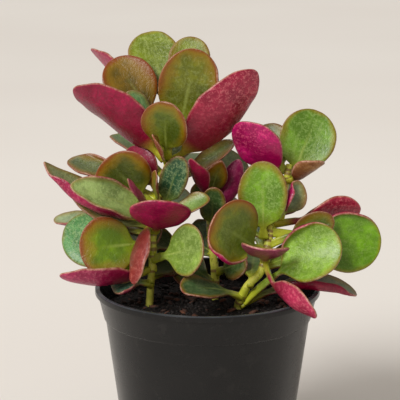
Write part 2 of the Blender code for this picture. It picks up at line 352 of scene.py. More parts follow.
def set_colour(mesh, name, colour):
    attribute = mesh.attributes.new(name, "FLOAT_COLOR", "POINT")
    count = len(mesh.vertices)
    attribute.data.foreach_set("color", np.tile(np.array([*colour, 1.0], np.float32), count))


def colour_of(code):
    """A colour from its sRGB code, as linear values."""
    parts = [int(code[i : i + 2], 16) / 255 for i in (0, 2, 4)]
    return tuple(c / 12.92 if c <= 0.04045 else ((c + 0.055) / 1.055) ** 2.4 for c in parts)


def rounded(distance):
    """How full a leaf is at a distance in from its outline: its rim is a half round."""
    inward = min(max(distance / RIM_ROUNDING, 0.0), 1.0)
    return math.sqrt(1 - (1 - inward) ** 2)


def folded(out, half, fold):
    """Where a point lies across a blade whose margin rolls over to the upper side, and how far it is turned.

    Given its distance out from the middle, this returns its place out, its height, and its turn.
    """
    side, width = fold
    excess = side * out - (half - width)
    if width <= 0 or excess <= 0:
        return out, 0.0, 0.0
    radius = max(width / FOLD_TURN, FOLD_RADIUS)
    turn = excess / radius
    return side * (half - width + radius * math.sin(turn)), radius * (1 - math.cos(turn)), side * turn


def rooted(rows):
    """The rows with two more before them, through which a leaf's foot runs on into its stem."""
    foot = rows[0].copy()
    foot[CENTRE] += unit(rows[0][CENTRE] - rows[3][CENTRE]) * FOOT_DEPTH
    foot[SIDE] *= FOOT_SPREAD
    halfway = 0.5 * (foot + rows[0])
    return np.array([foot, halfway, *rows])


def leaf_points(rows, offset, swell, fold):
    """The points of a leaf's skin, ring by ring, and where each lies on the leaf.

    That is the side it lies on, from 0 below to 1 above, its share of the length, its share of the half
    width, and its distance in from the outline in millimetres.
    """
    steps = np.linalg.norm(np.diff(rows[:, CENTRE], axis=0), axis=1)
    along = np.concatenate([[0], np.cumsum(steps)])
    length = along[-1]
    widest = max(np.linalg.norm(row[SIDE]) for row in rows)
    over = [math.sin(0.5 * math.pi * (2 * i / LEAF_SPANS - 1)) for i in range(LEAF_SPANS + 1)]
    ring = [(v, 1) for v in over] + [(v, -1) for v in over[-2:0:-1]]
    points = []
    places = []
    for row, place in zip(rows, along):
        middle, side, normal = row[CENTRE], row[SIDE], unit(row[NORMAL])
        half = np.linalg.norm(side)
        if half > 0:
            across = side / half
            normal = unit(normal - normal.dot(across) * across)
        outline = 1 + OUTLINE_WAVE * noise.noise(Vector((place / OUTLINE_SPACING, OUTLINE_ROW, 0)) + offset)
        blade = min(1.0, half / (FULL_BLADE * widest)) ** 2
        strip = fold[1] * MM * blade * min(1.0, (length - place) / (FOLD_FADE * length))
        for v, upper in ring:
            inset = min(half * (1 - abs(v)), length - place)
            on_rim = abs(v) > 0.999
            places.append((0.5 if on_rim else 0.5 + 0.5 * upper, place / length, v, inset / MM))
            if half == 0:
                points.append(middle)
                continue
            bend = row[SAG] * (1 - v * v)
            wave = noise.noise(Vector((v * half, place, 0)) / SWELL_SPACING + offset) * swell * blade
            frill = noise.noise(Vector((math.copysign(RIMS_APART, v), place / FRILL_SPACING, 0)) + offset)
            wave += frill * v * v * FRILL * blade
            plump = 0.5 * row[THICKNESS] * rounded(inset) * (MIDDLE_FULLNESS - RIM_THINNING * v * v)
            out, lift, turn = folded(v * half, half, (fold[0], strip))
            if half > STALK_HALF:
                out *= outline
            height = bend + wave + lift
            facing = normal * math.cos(turn) - across * math.sin(turn)
            points.append(middle + across * out + normal * height + facing * upper * plump)
    return points, places


def lofted_leaf(name, sections, looks, seed, nodes=(), fold=NO_FOLD):
    """A leaf's skin through its sections. Its foot runs on into the stem, and a margin may be rolled over."""
    rng = random.Random(seed)
    rows = rooted(smooth_between(sections, STATIONS_PER_RING))
    offset = Vector((rng.uniform(0, 90), rng.uniform(0, 90), rng.uniform(0, 90)))
    swell = rng.uniform(0.6, 1.2) * SWELL
    points, places = leaf_points(rows, offset, swell, fold)
    mesh = lofted_mesh(name, points, 2 * LEAF_SPANS)
    for label, values in zip(("upper", "along", "across", "inset"), np.array(places).T):
        set_values(mesh, label, values)
    face, back, blush, bloom = looks
    set_colour(mesh, "face", colour_of(face))
    set_colour(mesh, "back", colour_of(back))
    for label, value in (("blush", blush), ("bloom", bloom), ("shift", rng.uniform(0, 9))):
        set_values(mesh, label, np.full(len(points), value))
    clean(mesh, 0.002 * MM)
    return new_piece(name, mesh, MATERIALS["leaf"], "leaf", *nodes)


# ---------------------------------------------------------------- materials


class Nodes:
    """A material's node tree, with short calls for the nodes that these materials use."""

    def __init__(self, name):
        self.material = bpy.data.materials.new(name)
        self.material.use_nodes = True
        self.tree = self.material.node_tree
        self.shader = self.tree.nodes["Principled BSDF"]

    def link(self, value, socket):
        """Feeds a socket from another one, or sets it to a plain value or colour."""
        if isinstance(value, bpy.types.NodeSocket):
            self.tree.links.new(value, socket)
        elif isinstance(value, tuple) and len(value) == 3 and socket.type == "RGBA":
            socket.default_value = (*value, 1.0)
        else:
            socket.default_value = value

    def math(self, operation, a, b=0.0, clamp=False):
        node = self.tree.nodes.new("ShaderNodeMath")
        node.operation = operation
        node.use_clamp = clamp
        self.link(a, node.inputs[0])
        self.link(b, node.inputs[1])
        return node.outputs[0]

    def times(self, a, b):
        return self.math("MULTIPLY", a, b)

    def plus(self, a, b, clamp=False):
        return self.math("ADD", a, b, clamp)

    def mix(self, share, a, b):
        """Two colours, with a share of the second in the first."""
        node = self.tree.nodes.new("ShaderNodeMix")
        node.data_type = "RGBA"
        self.link(share, node.inputs[0])
        self.link(a, node.inputs[6])
        self.link(b, node.inputs[7])
        return node.outputs[2]

    def step(self, value, low, high, bottom=0.0, top=1.0):
        """A smooth step from bottom to top as value goes from low to high."""
        node = self.tree.nodes.new("ShaderNodeMapRange")
        node.interpolation_type = "SMOOTHSTEP"
        self.link(value, node.inputs["Value"])
        node.inputs["From Min"].default_value = low
        node.inputs["From Max"].default_value = high
        node.inputs["To Min"].default_value = bottom
        node.inputs["To Max"].default_value = top
        return node.outputs["Result"]

    def attribute(self, name, output="Fac"):
        node = self.tree.nodes.new("ShaderNodeAttribute")
        node.attribute_name = name
        return node.outputs[output]

    def places(self, shift=None):
        """The point's place on the object, in metres, moved by the shift where one is given."""
        coordinates = self.tree.nodes.new("ShaderNodeTexCoord").outputs["Object"]
        if shift is None:
            return coordinates
        node = self.tree.nodes.new("ShaderNodeVectorMath")
        self.link(coordinates, node.inputs[0])
        self.link(shift, node.inputs[1])
        return node.outputs[0]

    def vector(self, x, y, z):
        node = self.tree.nodes.new("ShaderNodeCombineXYZ")
        for socket, value in zip(node.inputs, (x, y, z)):
            self.link(value, socket)
        return node.outputs[0]

    def height(self, places):
        """How high a place is above the surface that the pot stands on."""
        node = self.tree.nodes.new("ShaderNodeSeparateXYZ")
        self.link(places, node.inputs[0])
        return node.outputs["Z"]

    def richer(self, colour, saturation, value):
        """A colour with its saturation and its value multiplied."""
        node = self.tree.nodes.new("ShaderNodeHueSaturation")
        node.inputs["Saturation"].default_value = saturation
        node.inputs["Value"].default_value = value
        self.link(colour, node.inputs["Color"])
        return node.outputs[0]

    def noise(self, places, size, detail=2.0, roughness=0.5, distortion=0.0):
        """Cloudy noise, with features of about the given size."""
        node = self.tree.nodes.new("ShaderNodeTexNoise")
        self.link(places, node.inputs["Vector"])
        node.inputs["Scale"].default_value = 1 / size
        node.inputs["Detail"].default_value = detail
        node.inputs["Roughness"].default_value = roughness
        node.inputs["Distortion"].default_value = distortion
        return node.outputs["Fac"]

    def bump(self, height, distance, strength=1.0, normal=None):
        node = self.tree.nodes.new("ShaderNodeBump")
        self.link(height, node.inputs["Height"])
        node.inputs["Distance"].default_value = distance
        node.inputs["Strength"].default_value = strength
        if normal is not None:
            self.link(normal, node.inputs["Normal"])
        return node.outputs["Normal"]


def leaf_material():
    """A fleshy leaf: green above, magenta beneath, mottled with farina, and blushed towards its pale rim."""
    n = Nodes("leaf_skin")
    upper = n.attribute("upper")
    along = n.attribute("along")
    across = n.attribute("across")
    inset = n.attribute("inset")
    blush = n.attribute("blush")
    bloom = n.attribute("bloom")
    shift = n.attribute("shift")
    face = n.attribute("face", "Color")
    back = n.attribute("back", "Color")
    places = n.places(shift)

    clouds = n.noise(places, 16 * MM, 3.0, 0.55)
    patches = n.noise(places, 5 * MM, 3.0, 0.6, 0.5)
    mottle = n.noise(places, 1.9 * MM, 3.0, 0.62, 0.6)
    grain = n.noise(places, 0.7 * MM, 2.0, 0.6)
    lengthwise = n.vector(n.times(across, 7.0), n.times(along, 2.0), shift)
    veins = n.noise(lengthwise, 1.0, 3.0, 0.6)
    speck = n.plus(n.times(mottle, 0.60), n.times(grain, 0.40))

    # The upper side: green, deeper and paler by turns, with a blush that spreads in from its margin.
    dark_green = n.mix(0.55, face, (0.010, 0.030, 0.002))
    green = n.mix(n.step(clouds, 0.36, 0.62), dark_green, face)
    green = n.mix(n.times(n.step(patches, 0.58, 0.42), 0.55), green, dark_green)
    pale = n.mix(0.42, face, colour_of("cfdc9c"))
    cover = n.plus(n.step(speck, 0.46, 0.62), n.step(veins, 0.50, 0.72, 0.0, 0.5), True)
    green = n.mix(n.times(cover, n.times(bloom, 0.80)), green, pale)
    fresh_base = n.step(along, 0.46, 0.10)
    green = n.mix(n.times(fresh_base, 0.50), green, colour_of("a8b43c"))
    midrib = n.times(n.step(n.math("ABSOLUTE", across), 0.10, 0.0), n.step(along, 0.85, 0.25))
    green = n.mix(n.times(midrib, 0.40), green, colour_of("c2d070"))
    spread = n.plus(n.times(blush, blush), 0.25)
    reach = n.math("DIVIDE", n.times(inset, n.step(clouds, 0.30, 0.70, 1.6, 0.7)), spread)
    margin = n.times(n.step(reach, 10.0, 1.0), n.step(along, 0.20, 0.60))
    blushed = n.mix(n.step(reach, 4.0, 0.6), colour_of("96700c"), colour_of("8a4214"))
    strength = n.plus(n.times(blush, 0.6), 0.35)
    green = n.mix(n.times(margin, strength), green, blushed)

    # The under side: magenta, deeper towards the foot, mottled with pale farina.
    deep = n.mix(0.66, back, (0.100, 0.0, 0.010))
    red = n.mix(n.step(clouds, 0.34, 0.62), deep, back)
    red = n.mix(n.times(n.step(patches, 0.56, 0.42), 0.45), red, deep)
    red = n.mix(n.times(n.step(mottle, 0.56, 0.44), 0.45), red, deep)
    red = n.mix(n.step(along, 0.78, 0.18, 0.0, 0.85), red, n.mix(0.25, deep, colour_of("5e2c14")))
    dust = n.mix(0.38, back, colour_of("eab4ac"))
    net = n.times(n.step(speck, 0.48, 0.62), n.times(bloom, 0.85))
    red = n.mix(n.times(net, n.step(along, 0.35, 0.80, 0.15, 1.0)), red, dust)

    # Both sides meet at the rim, and the stalk is yellow-green all round.
    skin = n.mix(n.step(upper, 0.40, 0.60), n.richer(red, 1.08, 1.0), green)
    rim = n.times(n.step(inset, 0.55, 0.05), n.step(along, 0.16, 0.40))
    rim_colour = n.mix(n.step(mottle, 0.35, 0.65), colour_of("9c5c48"), colour_of("d0a48c"))
    skin = n.mix(n.times(rim, 0.65), skin, rim_colour)
    stalk = n.step(along, 0.26, 0.08)
    skin = n.mix(n.times(stalk, 0.80), skin, colour_of("ccd040"))
    skin = n.richer(skin, 1.03, 0.86)
    n.link(skin, n.shader.inputs["Base Color"])

    rough = n.plus(n.step(speck, 0.40, 0.62, 0.0, 0.12), n.step(clouds, 0.3, 0.7, 0.28, 0.36))
    n.link(rough, n.shader.inputs["Roughness"])
    n.shader.inputs["IOR"].default_value = 1.45
    n.shader.inputs["Coat Weight"].default_value = 0.10
    n.shader.inputs["Coat Roughness"].default_value = 0.20
    swell = n.bump(mottle, 0.5 * MM, 0.7)
    n.link(n.bump(grain, 0.10 * MM, 0.6, swell), n.shader.inputs["Normal"])
    return n.material


def stem_material():
    """A fleshy yellow-green stem with corky brown rings where leaves leave it, and brown flecks."""
    n = Nodes("stem_skin")
    places = n.places()
    scar = n.attribute("scar")
    height = n.attribute("along")
    patches = n.noise(places, 6 * MM, 3.0, 0.6)
    grain = n.noise(places, 0.8 * MM, 2.0, 0.6)
    green = n.mix(n.step(patches, 0.35, 0.65), colour_of("c6cc3c"), colour_of("eaea60"))
    green = n.mix(n.step(height, 0.16, 0.0, 0.0, 0.55), green, colour_of("8a7a4a"))
    cork = n.mix(grain, colour_of("6b4526"), colour_of("9a7448"))
    fleck = n.step(n.noise(places, 1.7 * MM, 2.0, 0.5), 0.60, 0.70)
    green = n.mix(n.times(fleck, 0.35), green, cork)
    skin = n.mix(n.times(n.step(scar, 0.25, 0.9), 0.85), green, cork)
    n.link(skin, n.shader.inputs["Base Color"])
    n.link(n.step(patches, 0.3, 0.7, 0.42, 0.55), n.shader.inputs["Roughness"])
    n.shader.inputs["Coat Weight"].default_value = 0.08
    n.link(n.bump(grain, 0.15 * MM, 0.5), n.shader.inputs["Normal"])
    return n.material


def pot_material():
    """Black moulded plastic: a fine satin grain, faint dried water marks, and a painted highlight along the
    lip's top.
    """
    n = Nodes("pot_plastic")
    places = n.places()
    patches = n.noise(places, 34 * MM, 4.0, 0.6)
    marks = n.noise(places, 7 * MM, 4.0, 0.65, 0.6)
    grain = n.noise(places, 0.45 * MM, 2.0, 0.6)
    black = n.mix(n.step(patches, 0.32, 0.68), (0.0060, 0.0058, 0.0060), (0.0090, 0.0086, 0.0085))
    dust = n.times(n.step(marks, 0.56, 0.72), 0.35)
    black = n.mix(dust, black, (0.026, 0.024, 0.022))
    # The paler band along the top of the lip, broken into patches, is a painted highlight.
    lip_top = float(merged("pot")[0][:, 2].max())
    lip = n.step(n.height(places), lip_top - 0.6 * MM, lip_top - 0.1 * MM)
    painted_lip_highlight = n.times(lip, n.step(patches, 0.35, 0.65, 0.35, 0.85))
    black = n.mix(painted_lip_highlight, black, (0.080, 0.090, 0.104))
    n.link(black, n.shader.inputs["Base Color"])
    rough = n.plus(n.step(patches, 0.3, 0.7, 0.23, 0.29), n.step(marks, 0.5, 0.75, 0.0, 0.10))
    n.link(rough, n.shader.inputs["Roughness"])
    n.shader.inputs["IOR"].default_value = 1.45
    n.shader.inputs["Specular IOR Level"].default_value = 0.34
    n.link(n.bump(grain, 0.05 * MM, 0.45), n.shader.inputs["Normal"])
    return n.material


def soil_material():
    """Damp peat: near black, with a fine brown crumb."""
    n = Nodes("soil_crumb")
    places = n.places()
    lumps = n.noise(places, 4 * MM, 4.0, 0.65)
    crumb = n.noise(places, 1.1 * MM, 4.0, 0.7)
    dark = n.mix(n.step(lumps, 0.38, 0.66), colour_of("080504"), colour_of("150f0b"))
    dark = n.mix(n.step(crumb, 0.56, 0.70), dark, colour_of("32221a"))
    n.link(dark, n.shader.inputs["Base Color"])
    n.link(n.step(crumb, 0.35, 0.7, 0.70, 0.98), n.shader.inputs["Roughness"])
    n.shader.inputs["Specular IOR Level"].default_value = 0.22
    rough = n.bump(lumps, 1.2 * MM, 0.8)
    n.link(n.bump(crumb, 0.6 * MM, 0.9, rough), n.shader.inputs["Normal"])
    return n.material


def chip_material(name, dark, light):
    """Bits of bark or peat: each has its own tone, with a fibrous grain."""
    n = Nodes(name)
    places = n.places()
    tone = n.attribute("tone")
    fibre = n.noise(places, 0.9 * MM, 4.0, 0.7, 1.5)
    skin = n.mix(n.step(tone, 0.0, 1.0), colour_of(dark), colour_of(light))
    skin = n.mix(n.step(fibre, 0.40, 0.62, 0.55, 0.0), skin, (0.008, 0.006, 0.005))
    n.link(skin, n.shader.inputs["Base Color"])
    n.link(n.step(fibre, 0.3, 0.7, 0.65, 0.95), n.shader.inputs["Roughness"])
    n.link(n.bump(fibre, 0.3 * MM, 0.8), n.shader.inputs["Normal"])
    return n.material


def floor_material():
    """Matt warm white paper, a little uneven in tone."""
    n = Nodes("floor_paper")
    places = n.places()
    patches = n.noise(places, 0.6, 2.0, 0.5)
    pale = n.mix(n.step(patches, 0.3, 0.7), colour_of("e5e0da"), colour_of("e8e4de"))
    n.link(pale, n.shader.inputs["Base Color"])
    n.shader.inputs["Roughness"].default_value = 0.9
    return n.material


# ---------------------------------------------------------------- leaves

# Each leaf of the frame: the colour of its upper side, the colour of its under side, how much its margin
# blushes, and how much farina it carries
LEAF_LOOKS = {
    "crown_leaf_back_left": ("8ea028", "a05050", 0.35, 0.60),
    "crown_leaf_back_right": ("8c9a2c", "9c4848", 0.40, 0.50),
    "crown_leaf_left": ("745a08", "9a3c40", 1.00, 0.05),
    "crown_leaf_front": ("7c8016", "9a3c40", 0.85, 0.35),
    "crown_leaf_low_left": ("7c8a30", "b81c50", 0.60, 0.20),
    "crown_leaf_low_front": ("66741a", "9a3844", 0.80, 0.10),
    "crown_leaf_behind": ("7a8430", "9a4050", 0.60, 0.30),
    "crown_leaf_low_right": ("84983c", "cc5068", 0.50, 0.90),
    "crown_leaf_under_right": ("7f8d38", "80401c", 0.70, 0.30),
    "crown_young_leaf": ("b49c5c", "c07c5c", 0.80, 0.15),
    "crown_leaf_mid_left": ("6f9a60", "a04858", 0.30, 0.55),
    "crown_leaf_far_left": ("8a8c4c", "c85070", 0.60, 0.40),
    "left_leaf_upper": ("5e661c", "98304a", 0.95, 0.10),
    "left_leaf_upper_back": ("6c7830", "9c0c3c", 0.60, 0.05),
    "left_leaf_behind": ("66743a", "b03c60", 0.60, 0.25),
    "left_leaf_front": ("b2cc7c", "c03c6c", 0.25, 0.70),
    "left_leaf_long": ("a4b078", "c4446c", 0.45, 0.60),
    "left_young_leaf_outer": ("c8b050", "d8608c", 0.90, 0.20),
    "left_young_leaf_inner": ("a8b44c", "d07870", 0.70, 0.20),
    "middle_leaf_streaked": ("3c7050", "8a4040", 0.30, 0.90),
    "middle_leaf_small": ("9cc064", "90302c", 0.50, 0.50),
    "left_leaf_forward": ("7c9038", "c01c60", 0.60, 0.30),
    "left_leaf_hanging": ("86943c", "a85850", 0.60, 0.35),
    "left_leaf_round": ("7ca00c", "a84848", 1.00, 0.00),
    "left_leaf_low_back": ("5a9c54", "a04c5c", 0.15, 0.75),
    "left_leaf_low_far": ("98ae84", "a86070", 0.35, 0.60),
    "left_leaf_spoon": ("98b84c", "b06068", 0.30, 0.55),
    "left_leaf_lowest": ("9cb82c", "cc5078", 0.35, 0.60),
    "left_leaf_on_rim": ("5c8878", "b8687c", 0.40, 0.60),
    "middle_young_leaf": ("88964c", "e03c74", 0.70, 0.25),
    "middle_leaf_dark": ("55783c", "803038", 0.40, 0.40),
    "middle_leaf_upright": ("7a8c40", "d85c94", 0.60, 0.45),
    "middle_leaf_back": ("84986c", "a05c64", 0.35, 0.60),
    "middle_leaf_low_left": ("4c6c34", "803c44", 0.40, 0.30),
    "middle_leaf_low_round": ("4c6a30", "803c44", 0.50, 0.30),
    "right_leaf_low_left": ("456438", "a85068", 0.40, 0.30),
    "right_leaf_over_rim": ("8a9c40", "dc607c", 0.50, 0.60),
    "right_leaf_front": ("92bc3c", "c84470", 0.30, 0.50),
    "right_leaf_drooping": ("80966c", "b82c50", 0.50, 0.45),
    "right_leaf_inner_front": ("7c8c20", "d04878", 0.90, 0.20),
    "right_leaf_forward": ("8a9440", "b4587c", 0.50, 0.40),
    "right_leaf_inner_back": ("4c6c34", "883850", 0.50, 0.30),
    "right_leaf_upright": ("80b02c", "c04868", 0.55, 0.55),
    "right_leaf_round": ("7cb41c", "d03868", 0.30, 0.30),
    "right_leaf_inner_dark": ("4c6828", "7c3840", 0.50, 0.25),
    "right_leaf_shoulder": ("869848", "dc5068", 0.50, 0.80),
    "right_leaf_folded": ("8a9c70", "d03c78", 0.50, 0.60),
    "right_leaf_top_left": ("86983c", "dc3080", 0.60, 0.85),
    "right_leaf_top": ("7aa830", "b84860", 0.45, 0.55),
    "right_leaf_top_front": ("a09458", "b08458", 0.80, 0.35),
    "right_leaf_top_back": ("7c8c44", "8c4048", 0.60, 0.40),
    "back_leaf_left": ("6c8c48", "b04868", 0.50, 0.40),
    "back_leaf_middle": ("74924c", "b84870", 0.50, 0.50),
    "back_leaf_right": ("7c983c", "c04c70", 0.60, 0.50),
    "back_leaf_low": ("648444", "b04c68", 0.50, 0.50),
}

# Leaves whose margin rolls over to the upper side: the right (1) or the left (-1), and how wide a strip
FOLDS = {
    "left_leaf_behind": (1, 3.5),
    "left_leaf_front": (1, 3.5),
    "left_leaf_long": (-1, 4.5),
    "left_leaf_low_far": (-1, 3.0),
    "right_leaf_front": (-1, 4.5),
    "right_leaf_inner_front": (-1, 4.5),
    "right_leaf_round": (-1, 3.0),
    "right_leaf_folded": (-1, 4.5),
    "right_leaf_drooping": (1, 5.0),
    "crown_leaf_front": (1, 2.5),
    "left_leaf_on_rim": (-1, 2.5),
}

# Leaves that fill the plant inside and behind, which have no solids: the stem, the height of the foot above
# the stem's own, the reach, the way the upper side faces, the width, the bow and the looks
FILLERS = {
    "inner_leaf_olive": (MIDDLE, 54, (7, -9, 22), (0.2, -1, 0.3), 13, 0, ("6c6c28", "8c3c30", 0.7, 0.2)),
    "inner_leaf_left": (TALL, 42, (-47, 14, 18), (-0.2, -0.6, 0.8), 16, -4, ("90a070", "b04c68", 0.5, 0.6)),
    "inner_leaf_low": (TALL, 30, (6, 16, 8), (0.1, -0.8, 0.5), 18, 0, ("48643a", "803848", 0.4, 0.3)),
    "inner_leaf_bright": (TALL, 20, (-33, -9, 5), (0.1, -0.7, 0.7), 17, -3, ("a8c030", "c04868", 0.3, 0.2)),
    "inner_leaf_centre": (MIDDLE, 20, (-9, 11, 20), (0, -1, 0.3), 25, 0, ("40602c", "783848", 0.4, 0.3)),
    "inner_leaf_right": (MIDDLE, 24, (16, 6, 15), (0.2, -1, 0.4), 22, 0, ("4c6c30", "803c48", 0.4, 0.3)),
    "inner_leaf_back_low": (TALL, 14, (3, 20, 14), (0.1, -1, 0.2), 26, 0, ("3e5c2a", "783848", 0.4, 0.2)),
    "inner_leaf_back_mid": (TALL, 26, (-12, 20, 10), (0, -1, 0.2), 28, 0, ("466430", "783848", 0.4, 0.3)),
    "inner_leaf_floor": (MIDDLE, 11, (-24, 3, 4), (0, -0.5, 1), 20, -3, ("44602c", "783848", 0.5, 0.3)),
    "inner_leaf_high": (MIDDLE, 46, (3, 13, 17), (0, -1, 0.3), 24, 0, ("587438", "883c48", 0.5, 0.3)),
    "inner_leaf_shade": (RIGHT, 42, (-10, 15, 13), (-0.2, -1, 0.4), 23, 0, ("50702c", "843c48", 0.4, 0.3)),
    "rear_leaf_crown": (TALL, 72, (8, 30, 20), (0.1, -0.4, 1), 22, 3, ("7a8c30", "a84060", 0.6, 0.4)),
    "rear_leaf_upper": (TALL, 44, (14, 34, 12), (0, -0.3, 1), 25, 4, ("6c8c38", "a84464", 0.4, 0.4)),
    "rear_leaf_left": (TALL, 27, (-17, 38, 8), (0, -0.3, 1), 26, 4, ("64883c", "a84464", 0.4, 0.5)),
    "rear_leaf_low": (TALL, 12, (9, 38, 3), (0.1, -0.3, 1), 25, 4, ("5c8038", "984058", 0.4, 0.4)),
    "rear_leaf_middle": (MIDDLE, 34, (11, 32, 14), (0, -0.3, 1), 23, 4, ("70903c", "a84464", 0.4, 0.5)),
    "rear_leaf_inner": (MIDDLE, 22, (-12, 30, 9), (0, -0.3, 1), 22, 4, ("64843c", "a04460", 0.4, 0.4)),
    "rear_leaf_right": (RIGHT, 33, (-13, 36, 13), (0, -0.3, 1), 25, 4, ("74943c", "b0486c", 0.5, 0.5)),
    "rear_leaf_outer": (RIGHT, 44, (14, 33, 10), (0, -0.3, 1), 24, 4, ("74943c", "b0486c", 0.5, 0.5)),
    "rear_leaf_base": (RIGHT, 14, (4, 40, 7), (0, -0.3, 1), 25, 4, ("5c8038", "a04460", 0.4, 0.4)),
    "side_leaf_right": (RIGHT, 20, (38, 22, 9), (0, -0.3, 1), 22, 3, ("6c9038", "b0486c", 0.5, 0.4)),
}


def make_leaves():
    for seed, (name, looks) in enumerate(LEAF_LOOKS.items()):
        lofted_leaf(f"{name}_skin", leaf_sections(name), looks, seed, (name,), FOLDS.get(name, NO_FOLD))
    for seed, (name, row) in enumerate(FILLERS.items(), FILLER_SEED):
        stem, height, reach, facing, width, bow, looks = row
        sections = plain_sections(stem_place(stem, height), reach, facing, width, bow)
        lofted_leaf(name, sections, looks, seed)


# ---------------------------------------------------------------- stems


def stem_rings(node):
    """The middle and radius of each of a stem solid's rings, from its foot up."""
    places, _, near = merged(node)
    lowest = [int(i) for i in np.argsort(places[:, 2])[:STEM_SOLID_SIDES]]
    rows = []
    for group in levels_from(lowest, near):
        ring = places[group]
        middle = ring.mean(0)
        rows.append([*middle, np.linalg.norm(ring - middle, axis=1).mean()])
    return np.array(rows)


def stem_place(node, height):
    """The point on a stem's middle line at a height above its foot, in millimetres."""
    rings = stem_rings(node)
    heights = rings[:, 2] - rings[0, 2]
    return [float(np.interp(height * MM, heights, rings[:, axis])) for axis in range(3)]


def leaf_feet():
    """The middle of each leaf solid's foot."""
    return [np.mean(leaf_rings(name)[0][0], axis=0) for name in LEAF_LOOKS]


def scar_at(place, borne):
    """How corky a stem is at a place: fully where a leaf leaves it, and less with the distance from there."""
    nearness = [math.exp(-((np.linalg.norm(place - spot) / SCAR_WIDTH) ** 2)) for spot in borne]
    return max(nearness + [0.0])


def make_stem(node, feet, seed):
    """A stem swept through its solid's rings, rooted in the soil, with a corky ring by each leaf it bears."""
    rng = random.Random(seed)
    rings = stem_rings(node)
    root = rings[0].copy()
    root[2] -= ROOT_DEPTH
    root[3] *= ROOT_SPREAD
    rings = np.array([2 * root - rings[0], root, *rings, 2 * rings[-1] - rings[-2]])
    rows = smooth_between(rings, STEM_STATIONS)
    borne = []
    for foot in feet:
        gaps = np.linalg.norm(rows[:, :3] - foot, axis=1)
        nearest = int(np.argmin(gaps))
        if gaps[nearest] < BEARING_REACH:
            borne.append(rows[nearest][:3])
    offset = Vector((rng.uniform(0, 50), 0, 0))
    rows_in_tip = 3
    points, scars, heights = [], [], []
    side = np.array([1.0, 0.0, 0.0])
    for i, row in enumerate(rows):
        before, after = rows[max(i - 1, 0)][:3], rows[min(i + 1, len(rows) - 1)][:3]
        heading = unit(after - before)
        side = unit(side - side.dot(heading) * heading)
        other = np.cross(heading, side)
        scar = scar_at(row[:3], borne)
        closing = min(1.0, (len(rows) - 1 - i) / rows_in_tip)
        radius = row[3] * (1 + SCAR_SWELL * scar) * math.sqrt(max(0.0, 1 - (1 - closing) ** 2))
        for j in range(STEM_SIDES):
            turn = math.tau * j / STEM_SIDES
            spot = row[:3] + (side * math.cos(turn) + other * math.sin(turn)) * radius
            lump = noise.noise(Vector(spot) / LUMP_SPACING + offset) * LUMP
            points.append(spot + unit(spot - row[:3] + heading * 1e-9) * lump)
            scars.append(scar)
            heights.append(i / (len(rows) - 1))
    mesh = lofted_mesh(f"{node}_skin", points, STEM_SIDES)
    set_values(mesh, "scar", scars)
    set_values(mesh, "along", heights)
    clean(mesh, 0.02 * MM)
    return new_piece(mesh.name, mesh, MATERIALS["stem"], "stem", node)


# ---------------------------------------------------------------- pot


def pot_section():
    """The pot's (radius, height) corners, from its inner floor's edge over the lip to its base's edge."""
    places, _, near = merged("pot")
    radii = np.hypot(places[:, 0], places[:, 1])
    turns = np.degrees(np.arctan2(places[:, 1], places[:, 0]))
    between_holes = 30.0
    centre_left_out = 10 * MM
    in_line = np.abs(turns - between_holes) < 0.3
    column = {int(i) for i in np.flatnonzero(in_line & (radii > centre_left_out))}
    ends = [i for i in column if len(near[i] & column) == 1]
    start = max(ends, key=lambda i: places[i][2])
    walk = [start]
    while len(walk) < len(column):
        onward = (near[walk[-1]] & column) - set(walk)
        if not onward:
            break
        walk.append(min(onward))
    return [(float(radii[i]), float(places[i][2])) for i in walk]


def pot_holes():
    """The middle and radius of each drain hole, read from the rim that it leaves in the base."""
    widest_hole = 12 * MM
    base_edge = 35 * MM
    places, _, _ = merged("pot")
    radii = np.hypot(places[:, 0], places[:, 1])
    on_base = places[:, 2] < 0.05 * MM
    rims = places[on_base & (radii < base_edge) & (radii > 1 * MM)][:, :2]
    holes = []
    while len(rims):
        beside = np.linalg.norm(rims - rims[0], axis=1) < widest_hole
        middle = rims[beside].mean(0)
        holes.append((middle, float(np.linalg.norm(rims[beside] - middle, axis=1).mean())))
        rims = rims[~beside]
    return holes


def drain_cutter(middle, radius):
    """A short cylinder, out of sight, that cuts a drain hole in the pot's base."""
    body = bmesh.new()
    bmesh.ops.create_cone(body, cap_ends=True, segments=40, radius1=radius, radius2=radius, depth=8 * MM)
    mesh = bpy.data.meshes.new("drain_cutter")
    body.to_mesh(mesh)
    body.free()
    cutter = bpy.data.objects.new("drain_cutter", mesh)
    cutter.location = (middle[0], middle[1], 0)
    cutter.hide_render = True
    cutter.hide_viewport = True
    bpy.context.scene.collection.objects.link(cutter)
    return cutter


def make_pot():
    """The pot's section turned into a shell, with its drain holes cut and its edges softened."""
    section = [(0.0, pot_section()[0][1]), *pot_section(), (0.0, 0.0)]
    edges = [(i, i + 1) for i in range(len(section) - 1)]
    mesh = bpy.data.meshes.new("pot_shell")
    mesh.from_pydata([(radius, 0, height) for radius, height in section], edges, [])
    pot = new_piece("pot_shell", mesh, MATERIALS["pot"], "pot", "pot")
    turn = pot.modifiers.new("Turn", "SCREW")
    turn.steps = POT_SIDES
    turn.render_steps = POT_SIDES
    turn.use_merge_vertices = True
    turn.merge_threshold = 0.01 * MM
    for middle, radius in pot_holes():
        cut = pot.modifiers.new("Drain hole", "BOOLEAN")
        cut.object = drain_cutter(middle, radius)
    soften = pot.modifiers.new("Soft edges", "BEVEL")
    soften.width = 0.5 * MM
    soften.segments = 3
    soften.limit_method = "ANGLE"
    soften.angle_limit = math.radians(20)
    soften.harden_normals = False
    graph = bpy.context.evaluated_depsgraph_get()
    final = bpy.data.meshes.new_from_object(pot.evaluated_get(graph))
    pot.modifiers.clear()
    pot.data = final
    final.name = "pot_shell"
    final.shade_smooth()
    final.set_sharp_from_angle(angle=math.radians(38))
    return pot


# ---------------------------------------------------------------- soil


